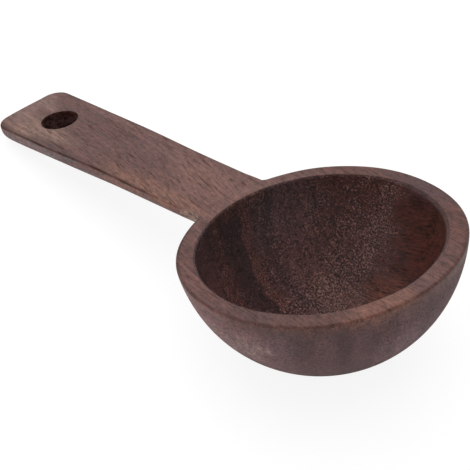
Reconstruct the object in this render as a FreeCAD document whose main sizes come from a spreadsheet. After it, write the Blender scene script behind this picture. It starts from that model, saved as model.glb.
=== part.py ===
import FreeCAD, Part
import os
import Sketcher

# A one-handed measuring spoon carved from walnut: a round bowl with an even
# wall, and a flat handle that leaves the rim flush and has a hole to hang it by.
# Both pieces are drawn level, with the middle of the rim at their own origin and
# the handle along -X. Their placement then lays the spoon on a table, on the
# round of its bowl and the tip of its handle, with the table at height zero.

# All sizes in millimetres.
SIZES = {
    # bowl
    "rim_diameter": 60.0,
    "bowl_depth": 27.3,
    "rim_wall": 4.2,
    "floor_wall": 4.2,
    "rim_outer_round": 0.5,
    "rim_inner_round": 0.5,
    # handle: its reach is from the middle of the bowl to the end, its neck
    # width and thickness are at the rim, its end width is before the corners
    "handle_reach": 110.4,
    "neck_width": 19.0,
    "end_width": 21.1,
    "neck_thickness": 3.2,
    "end_thickness": 4.9,
    "end_corner_round": 4.3,
    "underside_round": 2.4,
    "arris_round": 0.4,
    # hole to hang the spoon by
    "hole_diameter": 9.2,
    "hole_from_end": 15.2,
    "hole_edge_round": 0.3,
    # how far each cut runs past the wood
    "overrun": 3.0,
}

# Values that follow from the sizes. The outside and the hollow of the bowl are
# caps of spheres, so a rim radius and a depth give each sphere.
FORM = {
    "rim_radius": "Sizes.rim_diameter / 2",
    "hollow_radius": "rim_radius - Sizes.rim_wall",
    "hollow_depth": "Sizes.bowl_depth - Sizes.floor_wall",
    "outer_sphere": "(rim_radius^2 + Sizes.bowl_depth^2) / (2 * Sizes.bowl_depth)",
    "outer_centre": "outer_sphere - Sizes.bowl_depth",
    # the handle widens and thickens evenly from the rim to its end
    "handle_run": "Sizes.handle_reach - rim_radius",
    "width_slope": "(Sizes.end_width - Sizes.neck_width) / handle_run",
    "depth_slope": "(Sizes.end_thickness - Sizes.neck_thickness) / handle_run",
    # the drawn handle starts inside the rim, where the bowl's wall then cuts it
    "root_width": "Sizes.neck_width - width_slope * Sizes.rim_wall",
    "neck_angle": "2 * asin(Sizes.neck_width / Sizes.rim_diameter)",
    # the round below the handle leaves room for the eased edge above it
    "wall_room_share": "0.9",
    "underside_radius": "min(Sizes.underside_round;"
                        " (Sizes.neck_thickness - Sizes.arris_round) * wall_room_share)",
    # the table touches two rounds seen from the side: the bowl and the handle's tip
    "tip_run": "Sizes.handle_reach - underside_radius",
    "tip_drop": "Sizes.end_thickness - underside_radius + outer_centre",
    "tip_distance": "sqrt(tip_run^2 + tip_drop^2)",
    "tilt": "asin((outer_sphere - underside_radius) / tip_distance) - atan(tip_drop / tip_run)",
    "lift": "outer_sphere - outer_centre * cos(tilt)",
    # the middle of the spoon's length on the table, from the middle of the rim
    "front": "outer_sphere - outer_centre * sin(tilt)",
    "back": "(Sizes.handle_reach - Sizes.arris_round) * cos(tilt)"
            " + Sizes.arris_round * (1 - sin(tilt))",
    "shift": "(back - front) / 2",
}
FORM_ANGLES = ("neck_angle", "tilt")

TOLERANCE_SHARE = 1e-4

doc = FreeCAD.newDocument("measuring_spoon")

sheet = doc.addObject("Spreadsheet::Sheet", "Sizes")
for row, (alias, value) in enumerate(SIZES.items(), start=1):
    sheet.set(f"A{row}", str(value))
    sheet.setAlias(f"A{row}", alias)
doc.recompute()

form = doc.addObject("App::VarSet", "Form")
for name, formula in FORM.items():
    kind = "App::PropertyAngle" if name in FORM_ANGLES else "App::PropertyFloat"
    form.addProperty(kind, name)
    form.setExpression(name, formula)
doc.recompute()


def size(alias):
    """A driving size as a plain number."""
    return float(sheet.get(alias))


def derived(name):
    """A value that follows from the sizes, as a plain number."""
    return float(getattr(form, name))


def new_body(label):
    """An empty body, laid on the table by the tilt and the shift of the spoon."""
    body = doc.addObject("PartDesign::Body", label)
    body.Label = label
    body.setExpression(".Placement.Base.x", "Form.shift")
    body.setExpression(".Placement.Base.z", "Form.lift")
    body.setExpression(".Placement.Rotation.Axis.x", "0")
    body.setExpression(".Placement.Rotation.Axis.y", "-1")
    body.setExpression(".Placement.Rotation.Axis.z", "0")
    body.setExpression(".Placement.Rotation.Angle", "Form.tilt")
    return body


def new_sketch(body, name, role):
    """A sketch on one of the body's own origin planes."""
    sketch = body.newObject("Sketcher::SketchObject", name)
    plane = next(item for item in body.Origin.OriginFeatures if item.Role == role)
    sketch.AttachmentSupport = [(plane, "")]
    sketch.MapMode = "FlatFace"
    return sketch


def point(x, y):
    return FreeCAD.Vector(x, y, 0)


def lines_through(sketch, points):
    """Straight lines from point to point, joined end to start; gives their numbers."""
    numbers = []
    for start, end in zip(points, points[1:]):
        number = sketch.addGeometry(Part.LineSegment(start, end), False)
        if numbers:
            sketch.addConstraint(Sketcher.Constraint("Coincident", numbers[-1], 2, number, 1))
        numbers.append(number)
    return numbers


def dimension(sketch, name, formula, *constraint):
    """A named dimension of the sketch that follows a formula."""
    number = sketch.addConstraint(Sketcher.Constraint(*constraint))
    sketch.renameConstraint(number, name)
    sketch.setExpression(f"Constraints.{name}", formula)


def cap_arc(sketch, rim_radius, depth):
    """An arc about the bowl's axis, from the lowest point (its start) to the rim."""
    sphere = (rim_radius ** 2 + depth ** 2) / (2 * depth)
    lowest = point(0, -depth)
    rim = point(rim_radius, 0)
    circle = Part.Circle(point(0, sphere - depth), FreeCAD.Vector(0, 0, 1), sphere)
    arc = Part.ArcOfCircle(circle, circle.parameter(lowest), circle.parameter(rim))
    return sketch.addGeometry(arc, False)


def on_axis(sketch, number, place):
    """Holds a point on the upright axis of the sketch."""
    sketch.addConstraint(Sketcher.Constraint("PointOnObject", number, place, -2))


def at_rim_height(sketch, number, place):
    """Holds a point on the level axis of the sketch, the plane of the rim."""
    sketch.addConstraint(Sketcher.Constraint("PointOnObject", number, place, -1))


def edges_where(feature, test):
    """Names of the feature's edges whose ends and middle all pass the test."""
    names = []
    for number, edge in enumerate(feature.Shape.Edges, start=1):
        middle = edge.valueAt((edge.FirstParameter + edge.LastParameter) / 2)
        places = [vertex.Point for vertex in edge.Vertexes] + [middle]
        if all(test(place) for place in places):
            names.append(f"Edge{number}")
    return names


def round_edges(body, name, base, edges, formula):
    """Rounds the named edges of the base with the radius that the formula gives."""
    fillet = body.newObject("PartDesign::Fillet", name)
    fillet.Base = (base, edges)
    fillet.setExpression("Radius", formula)
    doc.recompute()
    return fillet


def must_shrink(feature, base):
    """A cut that points away from the wood removes nothing, so the volumes are compared."""
    if not feature.Shape.Volume < base.Shape.Volume:
        raise RuntimeError(f"{feature.Label} cuts nothing")


tolerance = TOLERANCE_SHARE * size("handle_reach")

# Bowl: the outside cap, the flat rim and the hollow turned as one profile.
bowl = new_body("bowl")
profile = new_sketch(bowl, "bowl_profile", "XZ_Plane")
outside = cap_arc(profile, derived("rim_radius"), size("bowl_depth"))
hollow = cap_arc(profile, derived("hollow_radius"), derived("hollow_depth"))
rim, = lines_through(profile, [point(derived("rim_radius"), 0), point(derived("hollow_radius"), 0)])
floor, = lines_through(profile, [point(0, -derived("hollow_depth")), point(0, -size("bowl_depth"))])
profile.addConstraint(Sketcher.Constraint("Coincident", outside, 2, rim, 1))
profile.addConstraint(Sketcher.Constraint("Coincident", rim, 2, hollow, 2))
profile.addConstraint(Sketcher.Constraint("Coincident", hollow, 1, floor, 1))
profile.addConstraint(Sketcher.Constraint("Coincident", floor, 2, outside, 1))
at_rim_height(profile, rim, 1)
at_rim_height(profile, rim, 2)
for number, place in ((outside, 3), (hollow, 3), (floor, 1), (floor, 2)):
    on_axis(profile, number, place)
dimension(profile, "rim_radius", "Form.rim_radius", "DistanceX", -1, 1, rim, 1, derived("rim_radius"))
dimension(profile, "rim_wall", "Sizes.rim_wall", "DistanceX", rim, 2, rim, 1, size("rim_wall"))
dimension(profile, "depth", "Sizes.bowl_depth", "DistanceY", floor, 2, -1, 1, size("bowl_depth"))
dimension(profile, "floor_wall", "Sizes.floor_wall", "DistanceY", floor, 2, floor, 1, size("floor_wall"))
turned = bowl.newObject("PartDesign::Revolution", "bowl_turned")
turned.Profile = profile
turned.ReferenceAxis = (profile, ["V_Axis"])
doc.recompute()


def on_hollow_edge(place):
    distance = (place.x ** 2 + place.y ** 2) ** 0.5
    return abs(place.z) < tolerance and abs(distance - derived("hollow_radius")) < tolerance


inner_edge = round_edges(bowl, "rim_inner_edge", turned,
                         edges_where(turned, on_hollow_edge), "Sizes.rim_inner_round")

# The outer edge of the rim is eased all round, but not where the handle leaves it:
# there the rim and the top of the handle are one flat surface.
easing = new_sketch(bowl, "rim_easing", "XZ_Plane")
ease = size("rim_outer_round")
reach = derived("outer_sphere") - ease
ease_x = (reach ** 2 - (derived("outer_centre") + ease) ** 2) ** 0.5
wall_x = ease_x * derived("outer_sphere") / reach
wall_z = derived("outer_centre") - (derived("outer_centre") + ease) * derived("outer_sphere") / reach
past_x = derived("rim_radius") + size("overrun")
guide = cap_arc(easing, derived("rim_radius"), size("bowl_depth"))
easing.setConstruction(guide, True)
on_axis(easing, guide, 1)
on_axis(easing, guide, 3)
at_rim_height(easing, guide, 2)
dimension(easing, "rim_radius", "Form.rim_radius", "DistanceX", -1, 1, guide, 2, derived("rim_radius"))
dimension(easing, "depth", "Sizes.bowl_depth", "DistanceY", guide, 1, -1, 1, size("bowl_depth"))
circle = Part.Circle(point(ease_x, -ease), FreeCAD.Vector(0, 0, 1), ease)
corner = easing.addGeometry(Part.ArcOfCircle(circle, circle.parameter(point(wall_x, wall_z)),
                                             circle.parameter(point(ease_x, 0))), False)
up, over, down, back = lines_through(easing, [
    point(ease_x, 0),
    point(ease_x, size("overrun")),
    point(past_x, size("overrun")),
    point(past_x, wall_z),
    point(wall_x, wall_z),
])
easing.addConstraint(Sketcher.Constraint("Coincident", corner, 2, up, 1))
easing.addConstraint(Sketcher.Constraint("Coincident", back, 2, corner, 1))
easing.addConstraint(Sketcher.Constraint("Tangent", corner, 1, guide))
easing.addConstraint(Sketcher.Constraint("Vertical", corner, 3, corner, 2))
at_rim_height(easing, up, 1)
for number, direction in ((up, "Vertical"), (over, "Horizontal"), (down, "Vertical"), (back, "Horizontal")):
    easing.addConstraint(Sketcher.Constraint(direction, number))
dimension(easing, "ease", "Sizes.rim_outer_round", "Radius", corner, ease)
dimension(easing, "past_rim", "Sizes.overrun", "DistanceX", guide, 2, over, 2, size("overrun"))
dimension(easing, "above_rim", "Sizes.overrun", "DistanceY", up, 1, up, 2, size("overrun"))
eased = bowl.newObject("PartDesign::Groove", "rim_outer_edge")
eased.Profile = easing
eased.ReferenceAxis = (easing, ["V_Axis"])
eased.Midplane = True
eased.setExpression("Angle", "360 deg - Form.neck_angle")
doc.recompute()
must_shrink(eased, inner_edge)

# Handle: a bar that tapers in width, drawn from inside the rim to its end.
handle = new_body("handle")
plan = new_sketch(handle, "handle_plan", "XY_Plane")
end_x = -size("handle_reach")
root_x = -derived("hollow_radius")
half_end = size("end_width") / 2
half_root = derived("root_width") / 2
end, near, root, far = lines_through(plan, [
    point(end_x, half_end),
    point(end_x, -half_end),
    point(root_x, -half_root),
    point(root_x, half_root),
    point(end_x, half_end),
])
plan.addConstraint(Sketcher.Constraint("Coincident", far, 2, end, 1))
plan.addConstraint(Sketcher.Constraint("Symmetric", end, 1, end, 2, -1))
plan.addConstraint(Sketcher.Constraint("Symmetric", root, 1, root, 2, -1))
dimension(plan, "reach", "Sizes.handle_reach", "DistanceX", end, 1, -1, 1, size("handle_reach"))
dimension(plan, "root_reach", "Form.hollow_radius", "DistanceX", root, 1, -1, 1, -root_x)
dimension(plan, "end_width", "Sizes.end_width", "DistanceY", end, 2, end, 1, size("end_width"))
dimension(plan, "root_width", "Form.root_width", "DistanceY", root, 1, root, 2, derived("root_width"))
bar = handle.newObject("PartDesign::Pad", "handle_bar")
bar.Profile = plan
bar.Reversed = True
bar.setExpression("Length", "max(Sizes.end_thickness; Sizes.neck_thickness) + Sizes.overrun")
doc.recompute()


def underside_height(x):
    """Height of the handle's underside, which falls evenly from the neck to the end."""
    return -size("neck_thickness") + derived("depth_slope") * (x + derived("rim_radius"))


# The wood below the sloping underside is cut away.
slope = new_sketch(handle, "underside_slope", "XZ_Plane")
past_end = end_x - size("overrun")
past_root = root_x + size("overrun")
lowest = -max(size("end_thickness"), size("neck_thickness")) - 2 * size("overrun")
fall, inner, below, outer = lines_through(slope, [
    point(past_end, underside_height(past_end)),
    point(past_root, underside_height(past_root)),
    point(past_root, lowest),
    point(past_end, lowest),
    point(past_end, underside_height(past_end)),
])
slope.addConstraint(Sketcher.Constraint("Coincident", outer, 2, fall, 1))
for number, direction in ((inner, "Vertical"), (below, "Horizontal"), (outer, "Vertical")):
    slope.addConstraint(Sketcher.Constraint(direction, number))
dimension(slope, "past_end", "Sizes.handle_reach + Sizes.overrun",
          "DistanceX", fall, 1, -1, 1, -past_end)
dimension(slope, "past_root", "Form.hollow_radius - Sizes.overrun",
          "DistanceX", fall, 2, -1, 1, -past_root)
dimension(slope, "end_depth", "Sizes.end_thickness + Form.depth_slope * Sizes.overrun",
          "DistanceY", fall, 1, -1, 1, -underside_height(past_end))
dimension(slope, "root_depth",
          "Sizes.neck_thickness - Form.depth_slope * (Sizes.rim_wall + Sizes.overrun)",
          "DistanceY", fall, 2, -1, 1, -underside_height(past_root))
dimension(slope, "lowest", "max(Sizes.end_thickness; Sizes.neck_thickness) + 2 * Sizes.overrun",
          "DistanceY", below, 1, -1, 1, -lowest)
planed = handle.newObject("PartDesign::Pocket", "underside")
planed.Profile = slope
planed.Type = "ThroughAll"
planed.Midplane = True
doc.recompute()
must_shrink(planed, bar)


def at_end_corner(place):
    return abs(place.x - end_x) < tolerance and abs(abs(place.y) - half_end) < tolerance


def on_underside(place):
    return abs(place.z - underside_height(place.x)) < tolerance and place.x < root_x - tolerance


def on_top(place):
    return abs(place.z) < tolerance


def along_top(place):
    return on_top(place) and place.x < root_x - tolerance


corners = round_edges(handle, "end_corners", planed,
                      edges_where(planed, at_end_corner), "Sizes.end_corner_round")
below_edge = round_edges(handle, "underside_edge", corners,
                         edges_where(corners, on_underside), "Form.underside_radius")
top_edge = round_edges(handle, "arris", below_edge,
                       edges_where(below_edge, along_top), "Sizes.arris_round")

# The hole to hang the spoon by goes square through the top.
ring = new_sketch(handle, "hole_ring", "XY_Plane")
hole_x = end_x + size("hole_from_end")
hole_radius = size("hole_diameter") / 2
rim_of_hole = ring.addGeometry(Part.Circle(point(hole_x, 0), FreeCAD.Vector(0, 0, 1), hole_radius), False)
at_rim_height(ring, rim_of_hole, 3)
dimension(ring, "hole_diameter", "Sizes.hole_diameter", "Diameter", rim_of_hole, size("hole_diameter"))
dimension(ring, "hole_reach", "Sizes.handle_reach - Sizes.hole_from_end",
          "DistanceX", rim_of_hole, 3, -1, 1, -hole_x)
hole = handle.newObject("PartDesign::Pocket", "hanging_hole")
hole.Profile = ring
hole.Type = "ThroughAll"
hole.Midplane = True
doc.recompute()
must_shrink(hole, top_edge)


def on_hole_edge(place):
    distance = ((place.x - hole_x) ** 2 + place.y ** 2) ** 0.5
    on_face = on_top(place) or abs(place.z - underside_height(place.x)) < tolerance
    return on_face and abs(distance - hole_radius) < tolerance


hole_edge = round_edges(handle, "hole_edge", hole,
                        edges_where(hole, on_hole_edge), "Sizes.hole_edge_round")

# The inner end of the handle is hollowed to the bowl's own outside, so that the
# two meet face to face all over, and the top runs on into the rim.
seat = new_sketch(handle, "bowl_seat", "XZ_Plane")
wall = cap_arc(seat, derived("rim_radius"), size("bowl_depth"))
rise, cover, axis = lines_through(seat, [
    point(derived("rim_radius"), 0),
    point(derived("rim_radius"), size("overrun")),
    point(0, size("overrun")),
    point(0, -size("bowl_depth")),
])
seat.addConstraint(Sketcher.Constraint("Coincident", wall, 2, rise, 1))
seat.addConstraint(Sketcher.Constraint("Coincident", axis, 2, wall, 1))
seat.addConstraint(Sketcher.Constraint("Vertical", rise))
seat.addConstraint(Sketcher.Constraint("Horizontal", cover))
at_rim_height(seat, rise, 1)
for number, place in ((wall, 3), (axis, 1), (axis, 2)):
    on_axis(seat, number, place)
dimension(seat, "rim_radius", "Form.rim_radius", "DistanceX", -1, 1, rise, 1, derived("rim_radius"))
dimension(seat, "depth", "Sizes.bowl_depth", "DistanceY", axis, 2, -1, 1, size("bowl_depth"))
dimension(seat, "above_rim", "Sizes.overrun", "DistanceY", rise, 1, rise, 2, size("overrun"))
seated = handle.newObject("PartDesign::Groove", "seat_on_bowl")
seated.Profile = seat
seated.ReferenceAxis = (seat, ["V_Axis"])
doc.recompute()
must_shrink(seated, hole_edge)

# Nothing is written unless every object is sound.
for item in doc.Objects:
    if "Invalid" in item.State or "Error" in item.State:
        raise RuntimeError(f"{item.Label} failed: {item.getStatusString()}")
for body in (bowl, handle):
    if body.Shape.isNull() or not body.Shape.isValid():
        raise RuntimeError(f"{body.Label} is not a sound solid")

os.makedirs("parts", exist_ok=True)
for body in (bowl, handle):
    body.Shape.exportStep(f"parts/{body.Label}.step")
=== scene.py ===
import math

import bpy
import numpy as np
from mathutils import Matrix, Vector


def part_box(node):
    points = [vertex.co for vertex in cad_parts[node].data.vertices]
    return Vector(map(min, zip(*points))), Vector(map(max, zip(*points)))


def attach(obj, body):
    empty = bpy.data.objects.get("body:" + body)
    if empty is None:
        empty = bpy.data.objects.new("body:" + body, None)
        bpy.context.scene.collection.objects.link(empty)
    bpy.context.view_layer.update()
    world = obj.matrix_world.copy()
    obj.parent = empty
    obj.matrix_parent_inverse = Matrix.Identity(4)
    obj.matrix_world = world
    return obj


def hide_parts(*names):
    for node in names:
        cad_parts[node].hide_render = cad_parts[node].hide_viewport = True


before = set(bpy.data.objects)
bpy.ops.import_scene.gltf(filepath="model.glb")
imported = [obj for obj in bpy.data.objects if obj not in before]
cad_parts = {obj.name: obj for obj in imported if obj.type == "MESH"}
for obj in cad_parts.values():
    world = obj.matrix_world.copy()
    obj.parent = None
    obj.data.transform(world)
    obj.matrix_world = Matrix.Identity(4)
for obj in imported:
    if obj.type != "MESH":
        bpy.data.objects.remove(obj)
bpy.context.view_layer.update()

# The bowl: a shallow half ball of black walnut with an even wall, carved in one piece with the handle.
# It was hollowed out, its rim was sanded flat, and its edges were eased by hand up to the handle's sides.
# Sizes are millimetres on the level spoon: the rim's middle is the origin, +X is its front and +Y its left.
rim_radius = 30.0
bowl_depth = 27.3
wall = 4.2
outer_ball = (rim_radius ** 2 + bowl_depth ** 2) / (2.0 * bowl_depth)
outer_rise = outer_ball - bowl_depth  # the ball's middle lies this far above the rim
hollow_radius = rim_radius - wall
hollow_depth = bowl_depth - wall
inner_ball = (hollow_radius ** 2 + hollow_depth ** 2) / (2.0 * hollow_depth)
inner_rise = inner_ball - hollow_depth
hollow_aside = np.array([-0.3, -0.1])  # the hollow was cut a little off the middle
rim_outer_round = 0.5
least_outer_round = 0.01  # where the handle joins
outer_round_fade = 1.2
rim_inner_round = 0.5
wide_inner_round = 0.95  # on the front left
out_of_round = 0.0065  # share of the radius, at the rim
out_of_round_depth = 12.0
sanding_depth = 4.0
neck_half_width = 9.5
arris_round = 0.32  # on the handle's upper edges, which meet the rim
bowl_turns = 432
bowl_rows = 50
outer_edge_rows = 8
inner_edge_rows = 7

# The spoon rests on the round of its bowl and the tip of its handle, which tilts it.
millimetre = 0.001
tilt = math.radians(12.03403)
bowl_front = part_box("bowl")[1].x / millimetre
rim_forward = bowl_front - outer_ball + outer_rise * math.sin(tilt)
rim_height = outer_ball - outer_rise * math.cos(tilt)
rim_middle = np.array([rim_forward, 0.0, rim_height])


def lay_on_table(points):
    """Turns level points by the tilt about Y, moves them to the resting place, and gives metres."""
    x, y, z = np.moveaxis(points, -1, 0)
    forward = math.cos(tilt) * x - math.sin(tilt) * z
    height = math.sin(tilt) * x + math.cos(tilt) * z
    return (np.stack([forward, y, height], axis=-1) + rim_middle) * millimetre


def smooth_rise(value, start, finish):
    """0 before the start, 1 past the finish, and a smooth cubic between; the start may be the larger."""
    share = np.clip((value - start) / (finish - start), 0.0, 1.0)
    return share * share * (3.0 - 2.0 * share)


def sanded_top(x, y):
    """Height of the hand-sanded top: two long waves, 0.035 and 0.03 mm high, just below the rim's level."""
    first_wave = 0.035 * np.sin(0.21 * x + 0.33 * y)
    second_wave = 0.03 * np.sin(0.37 * y - 0.13 * x + 1.1)
    return first_wave + second_wave - 0.065


def bowl_surface():
    """A profile carried round the upright axis: the outer ball up to the eased edge, the flat rim, the
    inner edge, and the inner ball down to the bottom. The outer easing shrinks to nothing at the handle,
    and the inner one widens on the front left. The outside has four low lobes that fade out downwards.
    Gives the points without the two poles, which of them are hollow, and how far edges are rubbed dark."""
    angle = np.arange(bowl_turns) * (2.0 * np.pi / bowl_turns)
    ball_step = np.linspace(0.0, 1.0, bowl_rows)[:, None]
    outer_step = np.linspace(0.0, 1.0, outer_edge_rows + 1)[1:, None]
    inner_step = np.linspace(0.0, 1.0, inner_edge_rows + 1)[1:, None]

    neck_edge = rim_radius * math.asin((neck_half_width - arris_round) / rim_radius)
    off_neck = np.abs(angle - np.pi) * rim_radius - neck_edge
    eased = smooth_rise(off_neck, 0.0, outer_round_fade)
    outer_round = least_outer_round + (rim_outer_round - least_outer_round) * eased
    shoulder = np.sqrt((outer_ball - outer_round) ** 2 - (outer_rise + outer_round) ** 2)
    ball_top = np.arctan2(-outer_round - outer_rise, shoulder)
    climb = -np.pi / 2 + (ball_top + np.pi / 2) * ball_step[1:]
    outside = np.stack([outer_ball * np.cos(climb), outer_rise + outer_ball * np.sin(climb)])
    bend = ball_top + (np.pi / 2 - ball_top) * outer_step
    outer_edge = np.stack([shoulder + outer_round * np.cos(bend), outer_round * (np.sin(bend) - 1.0)])

    front_left = smooth_rise(angle, 0.1, 0.7) * smooth_rise(angle, 2.0, 1.4)
    inner_round = rim_inner_round + (wide_inner_round - rim_inner_round) * front_left
    lip = np.sqrt((inner_ball + inner_round) ** 2 - (inner_rise + inner_round) ** 2)
    flat = shoulder + (lip - shoulder) * outer_step
    rim = np.stack([flat, np.zeros_like(flat)])
    roll_end = np.arctan2(inner_rise + inner_round, -lip)
    roll = np.pi / 2 + (roll_end - np.pi / 2) * inner_step
    inner_edge = np.stack([lip + inner_round * np.cos(roll), inner_round * (np.sin(roll) - 1.0)])
    hollow_top = np.arctan2(-inner_round - inner_rise, lip)
    descent = hollow_top - (hollow_top + np.pi / 2) * ball_step[1:-1]
    inside = np.stack([inner_ball * np.cos(descent), inner_rise + inner_ball * np.sin(descent)])

    stretches = [outside, outer_edge, rim, inner_edge, inside]
    radius, height = np.concatenate(stretches, axis=1)
    stretch = np.repeat(np.arange(len(stretches)), [part.shape[1] for part in stretches])[:, None]
    way_in = (stretch > 2).astype(float)
    way_in[stretch == 2] = outer_step[:, 0]
    near_rim = smooth_rise(height, -out_of_round_depth, 0.0) * (1.0 - way_in)
    radius = radius * (1.0 - out_of_round * np.cos(4.0 * angle) * near_rim)
    x = radius * np.cos(angle) + hollow_aside[0] * way_in
    y = radius * np.sin(angle) + hollow_aside[1] * way_in
    z = height + smooth_rise(height, -sanding_depth, 0.0) * sanded_top(x, y)

    hollow = np.repeat(stretch >= 3, bowl_turns, axis=1)
    degrees = np.degrees(angle)
    right_of_neck = smooth_rise(degrees, 192.0, 206.0) * smooth_rise(degrees, 282.0, 242.0)
    rubbed = (stretch == 1) * (0.15 + 0.6 * right_of_neck) + (stretch == 3) * 0.25
    return np.stack([x, y, z], axis=-1), hollow, rubbed


def spoon_piece(name, points, faces, **marks):
    """A smooth-shaded object at the origin from level points; each mark is a number for every point."""
    mesh = bpy.data.meshes.new(name)
    mesh.from_pydata(lay_on_table(points), [], faces)
    mesh.polygons.foreach_set("use_smooth", np.ones(len(mesh.polygons), dtype=bool))
    for mark, values in marks.items():
        layer = mesh.attributes.new(mark, "FLOAT", "POINT")
        layer.data.foreach_set("value", np.ascontiguousarray(values, dtype=np.float32).ravel())
    mesh.update()
    piece = bpy.data.objects.new(name, mesh)
    bpy.context.scene.collection.objects.link(piece)
    return piece


def linear(hex_colour):
    """An sRGB hex colour as linear red, green, blue and an alpha of 1."""
    srgb = np.array([int(hex_colour[i:i + 2], 16) for i in (1, 3, 5)]) / 255.0
    rgb = np.where(srgb <= 0.04045, srgb / 12.92, ((srgb + 0.055) / 1.055) ** 2.4)
    return (*rgb.tolist(), 1.0)


def add(tree, kind, inputs=None, out=0, stops=(), **settings):
    """Adds a node and gives its output socket. Settings are its properties, stops a ramp's places and
    colours with both ends first, and inputs its sockets, each set to a value or linked from a socket."""
    node = tree.nodes.new("ShaderNode" + kind)
    for name, value in settings.items():
        setattr(node, name, value)
    for count, (place, colour) in enumerate(stops):
        ramp = node.color_ramp.elements
        stop = ramp[count] if count < 2 else ramp.new(place)
        stop.position = place
        stop.color = linear(colour)
    for socket, value in (inputs or {}).items():
        if isinstance(value, bpy.types.NodeSocket):
            tree.links.new(value, node.inputs[socket])
        else:
            node.inputs[socket].default_value = value
    return node.outputs[out] if node.outputs else node


def black_walnut():
    """Black walnut, sanded and lightly oiled: growth bands of dark and reddish brown that run along the
    spoon a few degrees off its length, fine fibres, and open pores cut as short dark dashes.
    The oil leaves a dull sheen, so flat faces look paler and greyer than the wood's own colour.
    The front of the hollow was cut smooth. At its back the cutter tore the fibres, which looks speckled,
    with painted glints as the pale specks."""
    material = bpy.data.materials.new("oiled_black_walnut")
    material.use_nodes = True
    tree = material.node_tree
    tree.nodes.clear()
    blend = {"out": 2, "data_type": "RGBA"}  # a mix of colours: socket 0 is the share, 6 and 7 the colours
    soft = {"interpolation_type": "SMOOTHSTEP"}

    # All patterns lie in the level spoon, in millimetres.
    on_table = add(tree, "TexCoord", out="Object")
    rest_place = tuple(rim_middle * millimetre)
    rest = {"Location": rest_place, "Rotation": (0.0, -tilt, 0.0), "Scale": (millimetre,) * 3}
    level = add(tree, "Mapping", {"Vector": on_table, **rest}, vector_type="TEXTURE")
    along = add(tree, "SeparateXYZ", {0: level}, out=0)
    across = add(tree, "SeparateXYZ", {0: level}, out=1)
    up = add(tree, "SeparateXYZ", {0: level}, out=2)
    hollow = add(tree, "Attribute", out="Fac", attribute_name="hollow")
    below = add(tree, "MapRange", {"Value": up, "From Min": -0.5, "From Max": -5.0}, **soft)
    outside = add(tree, "Math", {0: below, 1: hollow}, operation="SUBTRACT", use_clamp=True)

    # The grain leans 11 degrees off the spoon's length and sways by 1.67 mm in waves 105 mm long.
    # In the hollow, where the cut runs steeply through it, it is drawn climbing towards the front.
    wave = 2.0 * math.pi / 105.0
    sway = add(tree, "Math", {0: along, 1: wave, 2: 0.8 * math.pi}, operation="MULTIPLY_ADD")
    sway = add(tree, "Math", {0: sway}, operation="SINE")
    leaning = add(tree, "Math", {0: along, 1: 0.19, 2: across}, operation="MULTIPLY_ADD")
    bent = add(tree, "Math", {0: sway, 1: 1.67, 2: leaning}, operation="MULTIPLY_ADD")
    cut = add(tree, "Math", {0: along, 1: hollow}, operation="MULTIPLY")
    climbing = add(tree, "Math", {0: cut, 1: -0.3, 2: up}, operation="MULTIPLY_ADD")
    grain = add(tree, "CombineXYZ", {0: along, 1: bent, 2: climbing})

    def cells(length, width, detail):
        """The inputs of a noise whose cells are length by width millimetres along the swaying grain."""
        per_cell = (1.0 / length, 1.0 / width, 1.0 / width)
        place = add(tree, "VectorMath", {0: grain, 1: per_cell}, operation="MULTIPLY")
        return {"Vector": place, "Scale": 1.0, "Detail": detail}

    # Growth layers stand upright, 7.5 degrees off the spoon's length. They twist with the height, curl
    # round the bowl's front right, and wander by a millimetre. The ramp crosses 57 mm of them to the left.
    layer_lean = math.radians(7.5)
    layer_face = (math.sin(layer_lean), math.cos(layer_lean), -0.06)
    layer = add(tree, "VectorMath", {0: level, 1: layer_face}, out="Value", operation="DOT_PRODUCT")
    twist = add(tree, "Math", {0: along, 1: up}, operation="MULTIPLY")
    layer = add(tree, "Math", {0: twist, 1: 0.0064, 2: layer}, operation="MULTIPLY_ADD")
    front = add(tree, "Math", {0: along, 1: 0.0}, operation="MAXIMUM")
    right = add(tree, "Math", {0: across, 1: 0.0}, operation="MINIMUM")
    curl = add(tree, "Math", {0: front, 1: right}, operation="MULTIPLY")
    layer = add(tree, "Math", {0: curl, 1: -0.019, 2: layer}, operation="MULTIPLY_ADD")
    wander = add(tree, "TexNoise", cells(45.0, 8.0, 2.0), normalize=False)
    layer = add(tree, "Math", {0: wander, 1: 2.0, 2: layer}, operation="MULTIPLY_ADD")
    ramp_place = add(tree, "Math", {0: layer, 1: 1.0 / 57.0, 2: 0.5}, operation="MULTIPLY_ADD")
    bands = add(tree, "ValToRGB", {0: ramp_place}, stops=[
        (0.0, "#745150"), (1.0, "#4a2b27"), (0.06, "#674340"), (0.09, "#573533"), (0.118, "#4a2d2d"),
        (0.14, "#5c3f3d"), (0.194, "#5f4342"), (0.214, "#4f3737"), (0.226, "#4d3636"), (0.245, "#5b403b"),
        (0.273, "#563a36"), (0.29, "#523633"), (0.301, "#5c403a"), (0.316, "#543835"), (0.338, "#452e2f"),
        (0.432, "#3f292a"), (0.446, "#65433e"), (0.491, "#614341"), (0.505, "#513a3a"), (0.52, "#604747"),
        (0.572, "#4c3939"), (0.592, "#674c4c"), (0.658, "#624645"), (0.734, "#60433f"), (0.742, "#3c2522"),
        (0.75, "#60413b"), (0.815, "#4f2c25"), (0.902, "#4c281e"), (0.916, "#46251b"), (0.933, "#49261d")])

    # The layers are faint on the sanded top, clearer on the outside, and clearest in the hollow.
    clear = add(tree, "Math", {0: below, 1: 0.5, 2: 0.3}, operation="MULTIPLY_ADD")
    clear = add(tree, "Math", {0: hollow, 1: clear}, operation="MAXIMUM")
    colour = add(tree, "Mix", {0: clear, 6: linear("#663e35"), 7: bands}, **blend)
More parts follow.
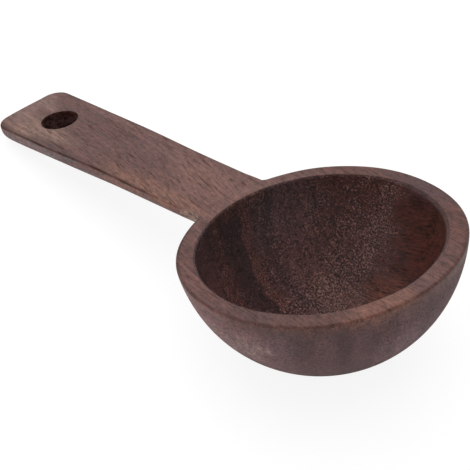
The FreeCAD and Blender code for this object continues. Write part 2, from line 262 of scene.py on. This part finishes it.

    # Paler and darker clouds with frayed outlines: middle, half size, colour and strength. Most are in the
    # wood; on the sides some are painted sheen and one a painted highlight, as marked.
    fray = add(tree, "TexNoise", cells(14.0, 3.0, 3.0), out="Color", normalize=False)
    ragged = add(tree, "VectorMath", {0: fray, 1: (6.0, 1.6, 1.6), 2: level}, operation="MULTIPLY_ADD")
    on_handle = [((-96.0, -6.5, 0.0), (12.0, 4.5, 6.0), "#886858", 0.7),
                 ((-107.0, 1.0, 0.0), (4.5, 8.0, 6.0), "#8c6c62", 0.5),
                 ((-82.0, -9.6, 0.0), (12.0, 1.6, 3.0), "#4a2a24", 0.5),
                 ((-70.0, 8.5, 0.0), (24.0, 2.5, 4.0), "#744f48", 0.5),
                 ((-46.0, -8.0, 0.0), (20.0, 2.6, 4.0), "#835643", 0.75),
                 ((-38.0, 1.0, 0.0), (16.0, 8.0, 4.0), "#7b5247", 0.75),
                 ((-55.0, 6.0, 0.0), (10.0, 3.5, 4.0), "#704b42", 0.6),
                 ((-72.0, 2.0, 0.0), (18.0, 5.0, 4.0), "#613e3a", 0.5)]
    on_rim = [((26.0, -11.0, 0.0), (5.0, 10.0, 2.0), "#7c5041", 0.75),
              ((8.0, -27.5, 0.0), (9.0, 4.0, 2.5), "#4c3230", 0.5),
              ((5.0, 28.0, 0.0), (13.0, 4.0, 2.0), "#4a3234", 0.6),
              ((-28.0, 0.0, 0.0), (4.0, 11.0, 2.0), "#734d43", 0.5)]
    # The first cloud on the sides is a painted sheen, greying the handle's near side.
    on_sides_with_sheen = [((-75.0, -11.8, -2.5), (38.0, 2.2, 2.6), "#6f6668", 0.6),
                # A painted sheen, pale on the bowl's outer front left.
                ((3.5, -27.0, -9.5), (8.0, 4.0, 6.0), "#8a746c", 0.65),
                ((14.0, -25.0, -7.0), (3.5, 3.0, 7.0), "#4a3a3c", 0.6),
                # A painted sheen, pale low on the bowl's outer front.
                ((25.0, -5.5, -11.5), (7.0, 6.0, 5.0), "#84696b", 0.6),
                # Darker just under the rim on the bowl's front right.
                ((17.0, -24.0, -2.8), (14.0, 9.0, 2.6), "#3a2420", 0.4),
                # A painted highlight in the corner where the handle's near side meets the bowl.
                ((-29.0, -10.0, -1.0), (3.0, 2.0, 3.0), "#a08374", 0.6)]
    in_hollow = [((-7.0, 7.5, -21.0), (8.0, 3.6, 6.0), "#7d5d55", 0.9),
                 ((3.5, 12.5, -19.5), (6.0, 3.5, 6.0), "#70483c", 0.9),
                 ((-7.0, 17.5, -14.5), (7.0, 4.5, 6.0), "#6b4e4b", 0.5)]
    cloud_edge = {"From Min": 1.4, "From Max": 0.4}
    for middle, half_size, cloud_colour, strength in on_handle + on_rim + on_sides_with_sheen + in_hollow:
        shrink = tuple(1.0 / size for size in half_size)
        apart = add(tree, "VectorMath", {0: ragged, 1: middle}, operation="SUBTRACT")
        apart = add(tree, "VectorMath", {0: apart, 1: shrink}, operation="MULTIPLY")
        apart = add(tree, "VectorMath", {0: apart}, out="Value", operation="LENGTH")
        cloud = add(tree, "MapRange", {"Value": apart, "To Max": strength, **cloud_edge}, **soft)
        colour = add(tree, "Mix", {0: cloud, 6: colour, 7: linear(cloud_colour)}, **blend)

    # Fibres are about 0.02 mm wide, too fine to show, so they are drawn as bundles of 6 by 0.38 mm.
    # Streaks of 1.9 mm and rings of 0.9 mm are as slow-grown wood has them. Fuzz and nap are the sanded
    # ends of fibres, drawn coarse at about 1 and 0.45 mm. The nap shows most outside, fibres in the hollow.
    fibre = add(tree, "TexNoise", cells(6.0, 0.38, 3.0))
    streak = add(tree, "TexNoise", cells(18.0, 1.9, 2.0))
    fuzz = add(tree, "TexNoise", cells(1.6, 1.0, 3.0))
    rings = add(tree, "TexNoise", {"W": layer, "Scale": 1.0 / 0.9, "Detail": 3.0}, noise_dimensions="1D")
    nap = add(tree, "TexNoise", {"Vector": level, "Scale": 1.0 / 0.45, "Detail": 2.0})
    napped = add(tree, "Math", {0: outside, 1: 2.6, 2: 1.2}, operation="MULTIPLY_ADD")
    combed = add(tree, "Math", {0: hollow, 1: 1.8, 2: 1.4}, operation="MULTIPLY_ADD")
    shade = 1.0
    for pattern, strength in ((fibre, combed), (streak, 0.5), (fuzz, 1.4), (rings, 0.9), (nap, napped)):
        swing = add(tree, "Math", {0: pattern, 1: 0.5}, operation="SUBTRACT")
        shade = add(tree, "Math", {0: swing, 1: strength, 2: shade}, operation="MULTIPLY_ADD")
    colour = add(tree, "VectorMath", {0: colour, "Scale": shade}, operation="SCALE")

    # Pores are the tree's vessels, 0.2 mm wide and cut open for 3.6 mm, and they come in runs of 14 mm.
    # They are darkest on the handle, fainter on the bowl, and partly filled where the handle's end is held.
    run = add(tree, "TexNoise", cells(14.0, 2.2, 1.0), normalize=False)
    vessel = add(tree, "TexNoise", cells(3.6, 0.2, 1.0))
    vessel = add(tree, "Math", {0: run, 1: 0.12, 2: vessel}, operation="MULTIPLY_ADD")
    at_neck = {"From Min": -34.0, "From Max": -24.0, "To Min": 0.68, "To Max": 0.45}
    open_pore = add(tree, "MapRange", {"Value": along, **at_neck})
    filled = add(tree, "MapRange", {"Value": along, "From Min": -84.0, "From Max": -98.0, "To Max": 0.35})
    open_pore = add(tree, "Math", {0: open_pore, 1: filled}, operation="SUBTRACT")
    pore_edge = {"From Min": 0.6, "From Max": 0.66}
    pore = add(tree, "MapRange", {"Value": vessel, "To Max": open_pore, **pore_edge}, **soft)
    pore_colour = add(tree, "Mix", {0: hollow, 6: linear("#42241a"), 7: linear("#1f110d")}, **blend)
    colour = add(tree, "Mix", {0: pore, 6: colour, 7: pore_colour}, **blend)

    # The hollow is darker, partly from the oil it soaked up and partly from painted shade: redder low down,
    # and greyer by the rim, where the wall lies in shade.
    # The outside took less oil and is drawn paler and greyer, mostly above its lower round: partly dry
    # wood, partly a painted sheen for the white table's reflection.
    # Painted shade darkens the hollow's back and the bowl's front.
    wall_top = add(tree, "MapRange", {"Value": up, "From Min": -13.0, "From Max": -2.0})
    # Painted shade and oil darken the hollow, greyer towards the rim.
    soaked_and_shaded = add(tree, "Mix", {0: wall_top, 6: linear("#e8cec4"), 7: linear("#d7d2d4")}, **blend)
    soaked_and_shaded = add(tree, "Mix", {0: hollow, 6: linear("#ffffff"), 7: soaked_and_shaded}, **blend)
    colour = add(tree, "Mix", {0: 1.0, 6: colour, 7: soaked_and_shaded}, blend_type="MULTIPLY", **blend)
    at_round = {"From Min": -14.0, "From Max": -19.0, "To Min": 0.27, "To Max": 0.08}
    # A painted sheen on the outside, with dry wood: a mix towards pale mauve-grey.
    dry_and_painted_sheen = add(tree, "MapRange", {"Value": up, **at_round})
    dry_and_painted_sheen = add(tree, "Math", {0: dry_and_painted_sheen, 1: outside}, operation="MULTIPLY")
    colour = add(tree, "Mix", {0: dry_and_painted_sheen, 6: colour, 7: linear("#8e6e73")}, **blend)
    # Painted shade at the hollow's back and at the bowl's front.
    for start, finish, darker, side in ((-13.0, -25.0, 0.22, hollow), (19.0, 29.0, 0.25, outside)):
        stretch = {"From Min": start, "From Max": finish, "To Max": darker}
        painted_shade_at_ends = add(tree, "MapRange", {"Value": along, **stretch})
        painted_shade_at_ends = add(tree, "Math", {0: painted_shade_at_ends, 1: side}, operation="MULTIPLY")
        colour = add(tree, "Mix", {0: painted_shade_at_ends, 6: colour, 7: linear("#000000")}, **blend)

    # Figure on the bowl's outside: upright stripes, fainter low down, each with its place round the bowl
    # and its half width in degrees, and how much lighter or darker it is.
    turn = add(tree, "Math", {0: across, 1: along}, operation="ARCTAN2")
    turn = add(tree, "Math", {0: wander, 1: 0.035, 2: turn}, operation="MULTIPLY_ADD")
    stripes = [(-86.0, 7.0, -0.17), (-72.0, 5.0, 0.08), (-52.0, 6.0, -0.34), (-37.0, 3.5, -0.2),
               (-30.0, 4.0, 0.22), (-19.0, 5.0, -0.16), (-11.0, 3.0, 0.22), (-3.0, 4.0, 0.2)]
    stripe_edge = {"From Min": 1.4, "From Max": 0.3}
    figure = 0.0
    for place, half_width, change in stripes:
        shrink = 1.0 / math.radians(half_width)
        shift = -math.radians(place) * shrink
        apart = add(tree, "Math", {0: turn, 1: shrink, 2: shift}, operation="MULTIPLY_ADD")
        apart = add(tree, "Math", {0: apart}, operation="ABSOLUTE")
        stripe = add(tree, "MapRange", {"Value": apart, "To Max": change, **stripe_edge}, **soft)
        figure = add(tree, "Math", {0: figure, 1: stripe}, operation="ADD")
    low_down = {"From Min": -9.0, "From Max": -15.0, "To Min": 1.0, "To Max": 0.5}
    fading = add(tree, "MapRange", {"Value": up, **low_down})
    figure = add(tree, "Math", {0: figure, 1: fading}, operation="MULTIPLY")
    figure = add(tree, "Math", {0: figure, 1: outside, 2: 1.0}, operation="MULTIPLY_ADD")
    colour = add(tree, "VectorMath", {0: colour, "Scale": figure}, operation="SCALE")

    # Behind its middle the hollow was cut against the grain. The fibres there are torn into tufts and dark
    # pits of 0.37 mm, in clumps of 6 mm, with a haze of loose ends where the tearing starts. The tufts are
    # drawn pale as painted glints, the light that torn fibres catch.
    frayed = add(tree, "SeparateXYZ", {0: ragged}, out=0)
    torn = add(tree, "MapRange", {"Value": frayed, "From Min": 2.5, "From Max": -4.5}, **soft)
    at_back = {"From Min": -9.0, "From Max": -20.0, "To Min": 1.0, "To Max": 0.65}
    fading = add(tree, "MapRange", {"Value": frayed, **at_back}, **soft)
    clump = add(tree, "TexNoise", {"Vector": level, "Scale": 1.0 / 6.0, "Detail": 2.0}, normalize=False)
    clump = add(tree, "MapRange", {"Value": clump, "From Min": -0.25, "From Max": 0.3, "To Min": 0.6})
    for share in (fading, clump, hollow):
        torn = add(tree, "Math", {0: torn, 1: share}, operation="MULTIPLY")
    at_start = {"From Min": -15.0, "From Max": -4.0, "To Max": 0.5}
    haze = add(tree, "MapRange", {"Value": frayed, **at_start}, **soft)
    haze = add(tree, "Math", {0: haze, 1: torn}, operation="MULTIPLY")
    colour = add(tree, "Mix", {0: haze, 6: colour, 7: linear("#5c403c")}, **blend)
    grit = add(tree, "TexNoise", {"Vector": level, "Scale": 1.0 / 0.37, "Detail": 1.0}, normalize=False)
    grit = add(tree, "Math", {0: grit, 1: torn}, operation="MULTIPLY")
    pit_to_glint = {"From Min": -0.4, "From Max": 0.5, "To Min": 0.25, "To Max": 2.0}
    shade = add(tree, "MapRange", {"Value": grit, **pit_to_glint})
    colour = add(tree, "VectorMath", {0: colour, "Scale": shade}, operation="SCALE")
    # The pale tufts are painted glints on the torn fibres.
    painted_glint = add(tree, "MapRange", {"Value": grit, "From Min": 0.15, "From Max": 0.6, "To Max": 0.3})
    colour = add(tree, "Mix", {0: painted_glint, 6: colour, 7: linear("#b39490")}, **blend)

    # Edges are rubbed dark by hands, unevenly. The wall of the hole is darkened with painted shade, in
    # patches.
    rubbed = add(tree, "Attribute", out="Fac", attribute_name="rubbed")
    uneven = add(tree, "MapRange", {"Value": run, "From Min": -0.3, "From Max": 0.25, "To Min": 0.6})
    rubbed = add(tree, "Math", {0: rubbed, 1: uneven}, operation="MULTIPLY")
    colour = add(tree, "Mix", {0: rubbed, 6: colour, 7: linear("#3a1d15")}, **blend)
    bored = add(tree, "Attribute", out="Fac", attribute_name="bored")
    # Painted shade on the hole's wall, darker in patches.
    patchy_hole_shade = add(tree, "MapRange", {"Value": fuzz, "From Min": 0.35, "From Max": 0.6, "To Min": 0.55})
    bored = add(tree, "Math", {0: bored, 1: patchy_hole_shade}, operation="MULTIPLY")
    colour = add(tree, "Mix", {0: bored, 6: colour, 7: linear("#22100a")}, **blend)

    # Fibres stand up and pores sink, within 0.12 mm. The dry outside is rougher than the rest.
    # The oil gives the open wood its sheen, which is weak in pores, on rubbed edges and in the hole.
    raised = add(tree, "Math", {0: fibre, 1: 0.4}, operation="MULTIPLY")
    raised = add(tree, "Math", {0: raised, 1: pore}, operation="SUBTRACT")
    bump = add(tree, "Bump", {"Strength": 0.35, "Distance": 0.12 * millimetre, "Height": raised})
    rough = add(tree, "Math", {0: fibre, 1: 0.2, 2: 0.4}, operation="MULTIPLY_ADD")
    rough = add(tree, "Math", {0: outside, 1: 0.25, 2: rough}, operation="MULTIPLY_ADD")
    sheen = add(tree, "MapRange", {"Value": pore, "From Max": 0.75, "To Min": 0.5, "To Max": 0.1})
    bare = add(tree, "Math", {0: rubbed, 1: 0.6}, operation="MULTIPLY")
    bare = add(tree, "Math", {0: bare, 1: bored}, operation="MAXIMUM")
    oiled = add(tree, "Math", {0: 1.0, 1: bare}, operation="SUBTRACT")
    sheen = add(tree, "Math", {0: sheen, 1: oiled}, operation="MULTIPLY")
    finish = {"Roughness": rough, "IOR": 1.5, "Specular IOR Level": sheen, "Normal": bump}
    wood = add(tree, "BsdfPrincipled", {"Base Color": colour, **finish})
    add(tree, "OutputMaterial", {"Surface": wood})
    return material


walnut = black_walnut()
points, hollow, rubbed = bowl_surface()
rows, turns = points.shape[:2]
here = np.arange(rows * turns).reshape(rows, turns)
beside = np.roll(here, -1, axis=1)
quads = np.stack([here[:-1], beside[:-1], beside[1:], here[1:]], axis=-1).reshape(-1, 4)
outer_pole = np.full(turns, rows * turns)
inner_pole = outer_pole + 1
under = np.stack([outer_pole, beside[0], here[0]], axis=-1)
within = np.stack([here[-1], beside[-1], inner_pole], axis=-1)
poles = np.array([[0.0, 0.0, -bowl_depth], [*hollow_aside, -hollow_depth]])
bowl = spoon_piece("walnut_bowl", np.concatenate([points.reshape(-1, 3), poles]),
                   quads.tolist() + under.tolist() + within.tolist(),
                   hollow=np.concatenate([hollow.ravel(), [0.0, 1.0]]),
                   rubbed=np.concatenate([rubbed.ravel(), [0.0, 0.0]]))
bowl.data.materials.append(walnut)
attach(bowl, "root")
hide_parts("bowl")

# The handle: a flat tongue of the same walnut, running flush out of the rim and thicker towards its end.
# Its end corners and its lower edges are rounded, its upper edges are only broken with sandpaper,
# and a hole is drilled through it to hang the spoon by.
handle_reach = 109.9  # from the rim's middle to the end
full_thickness_reach = 110.4
end_half_width = 10.55
neck_thickness = 3.2
end_thickness = 4.9
right_at_neck = 9.62  # half widths as shaped by hand, and how much they swell over the grip
right_swelling = 1.45
left_at_neck = 9.2
left_swelling = 1.08
end_skew = 0.079
left_corner = 4.4
right_corner = 4.0
low_corner_more = 3.0  # the lower edge is drawn in further round the end corners
lower_round = 2.45
grip_round_more = 0.85
corner_round_more = 0.45
side_strip = 0.12  # the straight part of the side, under the broken edge
side_sink = 1.4  # how far the inner end reaches into the bowl's wall, at the side and at the underside
low_sink = 1.2
hole_place = -95.2
hole_radius = 4.6
hole_round = 0.25
hole_taper = 0.2
seat_points = 48
side_points = 119
corner_points = 28
end_points = 22
edge_rows = 11
face_rows = 30


def hand_shaped(plan):
    """Moves a true plan to the one shaped by hand: beyond the rim each side is scaled to its own half
    width, which swells over the grip, and the end is skewed a few degrees out of square."""
    x, y = plan.T
    way_out = (-x - rim_radius) / (handle_reach - rim_radius)
    true_side = neck_half_width + (end_half_width - neck_half_width) * way_out
    right_side = right_at_neck + right_swelling * smooth_rise(-x, 57.0, 100.0)
    left_side = left_at_neck + left_swelling * smooth_rise(-x, 26.0, 88.0)
    swelling = np.where(y < 0.0, right_side, left_side) / true_side - 1.0
    off_rim = np.clip((-x - rim_radius) / 4.0, 0.0, 1.0)
    skew = end_skew * smooth_rise(-x, 97.0, 107.0)
    return np.stack([x - skew * y, y * (1.0 + swelling * off_rim)], axis=1)


def handle_plan(inset, seat_radius, corner_more=0.0):
    """The handle's plan, drawn in by the inset, anticlockwise from the right of the neck: an arc of the
    seat's radius about the rim's middle, the left side, the left corner, the end, the right corner and the
    right side. A side or the end is the line where way_in . point = edge. A corner is an arc about the
    point that lies its radius, with corner_more, inside both lines. Points are closer by the neck."""
    lean = math.atan2(end_half_width - neck_half_width, handle_reach - rim_radius)
    way_in = np.array([[-math.sin(lean), -math.cos(lean)], [1.0, 0.0], [-math.sin(lean), math.cos(lean)]])
    passes = np.array([[-rim_radius, neck_half_width], [-handle_reach, 0.0],
                       [-rim_radius, -neck_half_width]])
    edge = np.sum(way_in * passes, axis=1)
    way_out = np.arctan2(-way_in[:, 1], -way_in[:, 0]) % (2.0 * np.pi)
    to_end = np.array([-1.0, 0.0])

    def corner(first, last, radius):
        """The arc between two of the lines."""
        middle = np.linalg.solve(way_in[[first, last]], edge[[first, last]] + radius)
        angle = np.linspace(way_out[first], way_out[last], corner_points)[:, None]
        return middle + (radius - inset) * np.concatenate([np.cos(angle), np.sin(angle)], axis=1)

    def neck(side):
        """The point where a side's line crosses the seat's circle, on the side towards the end."""
        nearest = way_in[side] * (edge[side] + inset)
        run = to_end - way_in[side] * (way_in[side] @ to_end)
        return nearest + run / np.linalg.norm(run) * math.sqrt(seat_radius ** 2 - nearest @ nearest)

    left_arc = corner(0, 1, left_corner + corner_more)
    right_arc = corner(1, 2, right_corner + corner_more)
    left_neck = neck(0)
    right_neck = neck(2)
    seat_start = math.atan2(right_neck[1], right_neck[0]) % (2.0 * np.pi)
    seat_finish = math.atan2(left_neck[1], left_neck[0])
    angle = np.linspace(seat_start, seat_finish, seat_points + 1)[:-1, None]
    seat = seat_radius * np.concatenate([np.cos(angle), np.sin(angle)], axis=1)
    run = np.linspace(0.0, 1.0, side_points + 1)[:-1, None] ** 1.5
    left_side = left_neck + (left_arc[0] - left_neck) * run
    right_side = (right_neck + (right_arc[-1] - right_neck) * run)[:0:-1]
    run = np.linspace(0.0, 1.0, end_points + 2)[1:-1, None]
    end = left_arc[-1] + (right_arc[0] - left_arc[-1]) * run
    return hand_shaped(np.concatenate([seat, left_side, left_arc, end, right_arc, right_side]))


def handle_surface():
    """A closed section carried round the plan: the top from the hole out to the broken upper edge, the
    side, the rounded lower edge, the underside back to the hole, and up the hole's wall. The underside
    falls evenly from the neck to the end, and the lower rounding grows over the grip and at the corners.
    The inner end is sunk into the bowl's wall. Gives the points, how far they are rubbed, and how much
    painted shade the hole's wall gets."""
    top_edge = handle_plan(arris_round, rim_radius)
    side = handle_plan(0.0, rim_radius - side_sink)
    reach = -side[:, 0]
    round_more = grip_round_more * smooth_rise(reach, 66.0, 94.0)
    round_more += corner_round_more * smooth_rise(reach, 103.0, 108.0)
    off_middle = smooth_rise(np.abs(side[:, 1]), 2.0, 8.0)
    rounding = (lower_round + round_more * off_middle)[:, None]
    low_side = handle_plan(0.0, rim_radius - low_sink, low_corner_more)
    low_way_in = handle_plan(1.0, rim_radius - low_sink, low_corner_more) - low_side
    low_edge = low_side + low_way_in * rounding
    hole_middle = np.array([hole_place, 0.0])
    spoke = top_edge - hole_middle
    spoke /= np.linalg.norm(spoke, axis=1)[:, None]
    hole_edge = hole_middle + spoke * (hole_radius + hole_round)
    hole_wall = hole_middle + spoke * hole_radius
    low_hole_edge = hole_edge - spoke * hole_taper
    low_hole_wall = hole_wall - spoke * hole_taper

    def top(plan, drop=0.0):
        """Points of a plan at the height of the sanded top, less the drop."""
        return np.concatenate([plan, sanded_top(plan[:, :1], plan[:, 1:]) - drop], axis=1)

    def bottom(plan, lift=0.0):
        """Points of a plan at the height of the underside, plus the lift."""
        fall = (plan[:, :1] + rim_radius) / (full_thickness_reach - rim_radius)
        height = (end_thickness - neck_thickness) * fall - neck_thickness
        return np.concatenate([plan, height + lift], axis=1)

    def between(first, last, share):
        """Points that lie the share of the way from the first plan to the last."""
        return first + (last - first) * share

    quarter_turn = np.linspace(0.0, np.pi / 2, edge_rows)
    arc = list(zip(np.sin(quarter_turn), np.cos(quarter_turn)))
    spread = 0.5 - 0.5 * np.cos(np.linspace(0.0, np.pi, face_rows))
    face = [top(between(hole_edge, top_edge, share)) for share in spread]
    arris = [top(between(top_edge, side, sine), arris_round * (1.0 - cosine)) for sine, cosine in arc[1:]]
    strip = [top(side, arris_round + side_strip)]
    belly = [bottom(between(side, low_edge, 1.0 - cosine), rounding * (1.0 - sine)) for sine, cosine in arc]
    underside = [bottom(between(low_edge, low_hole_edge, share)) for share in spread[1:]]
    hole_foot = [bottom(between(low_hole_edge, low_hole_wall, sine), hole_round * (1.0 - cosine))
                 for sine, cosine in arc[2::2]]
    hole_mouth = [top(between(hole_edge, hole_wall, cosine), hole_round * (1.0 - sine))
                  for sine, cosine in arc[:-1:2]]
    hole = hole_foot + hole_mouth
    rings = np.stack(face + arris + strip + belly + underside + hole)

    way_in = handle_plan(1.0, rim_radius - low_sink) - handle_plan(0.0, rim_radius - low_sink)
    off_edge = (1.0 - spread)[:, None] * np.sum((hole_edge - top_edge) * way_in, axis=1)
    on_left = side[:, 1] > 0.0
    wear_width = np.where(on_left, 0.8, 1.7)
    wide_wear = 0.4 * smooth_rise(off_edge, wear_width, 0.1 * wear_width)
    fine_wear = 0.6 * smooth_rise(off_edge, 0.3, 0.0)
    arris_finish = len(face) + len(arris)
    rubbed = np.zeros(rings.shape[:2])
    rubbed[:len(face)] = wide_wear + fine_wear
    rubbed[len(face):arris_finish] = 1.0
    rubbed[arris_finish - 1] = 0.6
    rubbed *= smooth_rise(reach, 38.0, 52.0) * np.where(on_left, 0.75, 1.0)
    rubbed *= smooth_rise(way_in[:, 0], 0.8, 0.3)  # none along the end
    bored = np.zeros_like(rubbed)
    # Painted shade on the hole's wall.
    bored[-len(hole):] = 0.9
    return rings, rubbed, bored


points, rubbed, bored = handle_surface()
rows, turns = points.shape[:2]
here = np.arange(rows * turns).reshape(rows, turns)
beside = np.roll(here, -1, axis=1)
below = np.roll(here, -1, axis=0)
below_beside = np.roll(beside, -1, axis=0)
quads = np.stack([here, below, below_beside, beside], axis=-1).reshape(-1, 4)
handle = spoon_piece("walnut_handle", points.reshape(-1, 3), quads.tolist(), rubbed=rubbed, bored=bored)
handle.data.materials.append(walnut)
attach(handle, "root")
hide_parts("handle")

# The table: a wide matt white board that the spoon lies on, and that keeps its shadow.
# To the camera three quarters of it is a white glow, a little stronger far away, so that it runs into
# the backdrop without an edge. Sizes from here on are metres.
table_half = 3.0
table_corners = [(-table_half, -table_half), (table_half, -table_half), (table_half, table_half),
                 (-table_half, table_half)]
table_mesh = bpy.data.meshes.new("table")
table_mesh.from_pydata([(x, y, 0.0) for x, y in table_corners], [], [(0, 1, 2, 3)])
table = bpy.data.objects.new("table", table_mesh)
bpy.context.scene.collection.objects.link(table)
table_top = bpy.data.materials.new("white_table")
table_top.use_nodes = True
tree = table_top.node_tree
tree.nodes.clear()
matt = add(tree, "BsdfDiffuse", {"Color": linear("#e6e6e6")})
camera_ray = add(tree, "LightPath", out="Is Camera Ray")
glass_ray = add(tree, "LightPath", out="Is Transmission Ray")
mirror_ray = add(tree, "LightPath", out="Is Glossy Ray")
seen = add(tree, "Math", {0: camera_ray, 1: glass_ray}, operation="MAXIMUM")
seen = add(tree, "Math", {0: mirror_ray, 1: 0.42, 2: seen}, operation="MULTIPLY_ADD")
place = add(tree, "TexCoord", out="Object")
away = add(tree, "VectorMath", {0: place}, out="Value", operation="LENGTH")
far_off = {"From Min": 0.35, "From Max": 1.0, "To Min": 1.16, "To Max": 1.24}
strength = add(tree, "MapRange", {"Value": away, **far_off})
glow = add(tree, "Emission", {"Color": linear("#ffffff"), "Strength": strength})
bright = add(tree, "MixShader", {0: 0.75, 1: matt, 2: glow})
surface = add(tree, "MixShader", {0: seen, 1: matt, 2: bright})
add(tree, "OutputMaterial", {"Surface": surface})
table_mesh.materials.append(table_top)

# The studio: a white room with wide softboxes behind, above and beside the spoon, as for a catalogue.
# The spoon's sheen mirrors walls that are pale low down and dark above, and the camera sees plain white.
studio = bpy.data.worlds.new("studio")
bpy.context.scene.world = studio
studio.use_nodes = True
tree = studio.node_tree
tree.nodes.clear()
room = add(tree, "Background", {"Color": linear("#ffffff"), "Strength": 0.4})
place = add(tree, "TexCoord", out="Generated")
height = add(tree, "SeparateXYZ", {0: place}, out=2)
pale_to_dark = {"From Min": 0.4, "From Max": 0.9, "To Min": 0.8, "To Max": 0.08}
strength = add(tree, "MapRange", {"Value": height, **pale_to_dark}, interpolation_type="SMOOTHSTEP")
walls = add(tree, "Background", {"Color": linear("#f6faff"), "Strength": strength})
backdrop = add(tree, "Background", {"Color": linear("#ffffff"), "Strength": 1.0})
camera_ray = add(tree, "LightPath", out="Is Camera Ray")
glass_ray = add(tree, "LightPath", out="Is Transmission Ray")
mirror_ray = add(tree, "LightPath", out="Is Glossy Ray")
around = add(tree, "MixShader", {0: mirror_ray, 1: room, 2: walls})
seen = add(tree, "Math", {0: camera_ray, 1: glass_ray}, operation="MAXIMUM")
surface = add(tree, "MixShader", {0: seen, 1: around, 2: backdrop})
add(tree, "OutputWorld", {"Surface": surface})


def softbox(name, place, width, height, brightness):
    """A wide soft lamp at that place, facing the spoon, which neither the camera nor the sheen shows.
    Its brightness is counted in steps of 4 watts to the square metre."""
    lamp = bpy.data.lights.new(name, "AREA")
    lamp.shape = "RECTANGLE"
    lamp.size = width
    lamp.size_y = height
    lamp.energy = brightness * 4.0 * width * height
    box = bpy.data.objects.new(name, lamp)
    box.location = place
    box.rotation_euler = (-Vector(place)).to_track_quat("-Z", "Y").to_euler()
    box.visible_camera = False
    box.visible_glossy = False
    bpy.context.scene.collection.objects.link(box)


softbox("light_behind", (-0.62, 0.39, 0.42), 0.9, 0.7, 1.3)
softbox("light_above", (0.0, 0.0, 0.9), 0.9, 0.9, 1.0)
softbox("light_beside", (-0.45, -0.88, 0.18), 0.7, 0.4, 3.2)

# The camera: a long lens in front of the bowl, to its right and above it, rolled a degree clockwise.
# Its place and direction were fitted to the rim's two circles and the handle's edges in the photograph.
view = Vector((-0.56927, 0.49317, -0.65781))
view_up = Vector((-0.48210, 0.44788, 0.75299))
view_right = view.cross(view_up)
lens = bpy.data.cameras.new("camera")
lens.lens = 106.909
lens.sensor_width = 36.0
camera = bpy.data.objects.new("camera", lens)
camera.matrix_world = Matrix((view_right, view_up, -view)).transposed().to_4x4()
camera.location = (0.189667, -0.153454, 0.216146)
bpy.context.scene.collection.objects.link(camera)
bpy.context.scene.camera = camera
bpy.context.scene.view_settings.view_transform = "Standard"
